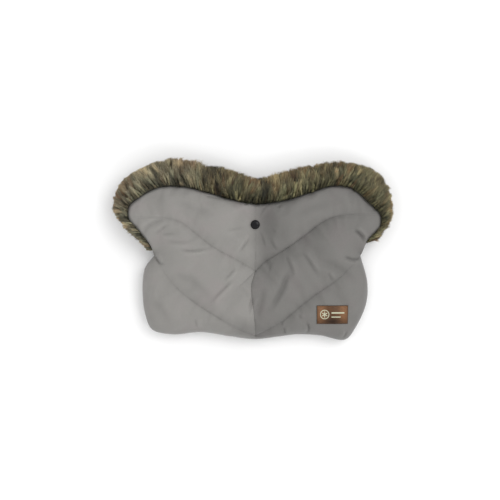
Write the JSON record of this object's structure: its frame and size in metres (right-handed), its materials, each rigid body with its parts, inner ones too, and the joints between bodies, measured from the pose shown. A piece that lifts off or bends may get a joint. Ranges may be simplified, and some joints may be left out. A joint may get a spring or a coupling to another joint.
{
  "type": "hand warmer muff",
  "caption": "Padded fabric hand muff for a stroller handlebar, with faux fur round the hand openings, side notches and a centre press stud.",
  "frame": {"origin": "centre of the bounding box on the surface the muff lies on", "axes": "+X along the handlebar, +Y from the sewn bottom edge to the fur edge, +Z out of the front"},
  "size_m": [0.5213, 0.3359, 0.0608],
  "materials": {
    "outer_fabric": "water-repellent taupe grey plain weave, slight sheen",
    "wadding": "matt polyester fibre fill",
    "fleece": "brushed fleece pile",
    "faux_fur": "long mixed pile, dark at the root, khaki and beige at the tips",
    "snap_black": "glossy black dome",
    "snap_metal": "blackened steel",
    "label_leather": "brown leatherette, darker at the rim"
  },
  "bodies": {
    "pouch": {"upper_left_toe": "outer_fabric", "upper_right_toe": "outer_fabric", "middle_left_panel": "outer_fabric", "middle_right_panel": "outer_fabric", "lower_left_panel": "outer_fabric", "lower_right_panel": "outer_fabric", "front_padding_lower": "wadding", "front_lining_lower": "fleece", "back_shell": "outer_fabric", "back_padding": "wadding", "back_lining": "fleece", "back_fur_left": "faux_fur", "back_fur_right": "faux_fur", "snap_stud": "snap_metal", "snap_rear_cap": "snap_black", "label_patch": "label_leather"},
    "front_flap": {"upper_left_panel": "outer_fabric", "upper_right_panel": "outer_fabric", "left_wing_panel": "outer_fabric", "right_wing_panel": "outer_fabric", "front_padding_upper": "wadding", "front_lining_upper": "fleece", "front_fur_left": "faux_fur", "front_fur_centre": "faux_fur", "front_fur_right": "faux_fur", "snap_cap": "snap_black", "snap_socket": "snap_metal"}
  },
  "joints": [
    {"name": "front_flap_open", "type": "hinge", "parent": "pouch", "child": "front_flap", "pos_m": [0.005, -0.012, 0.0615], "axis": [1, 0, 0], "range_deg": [0, 120]}
  ]
}
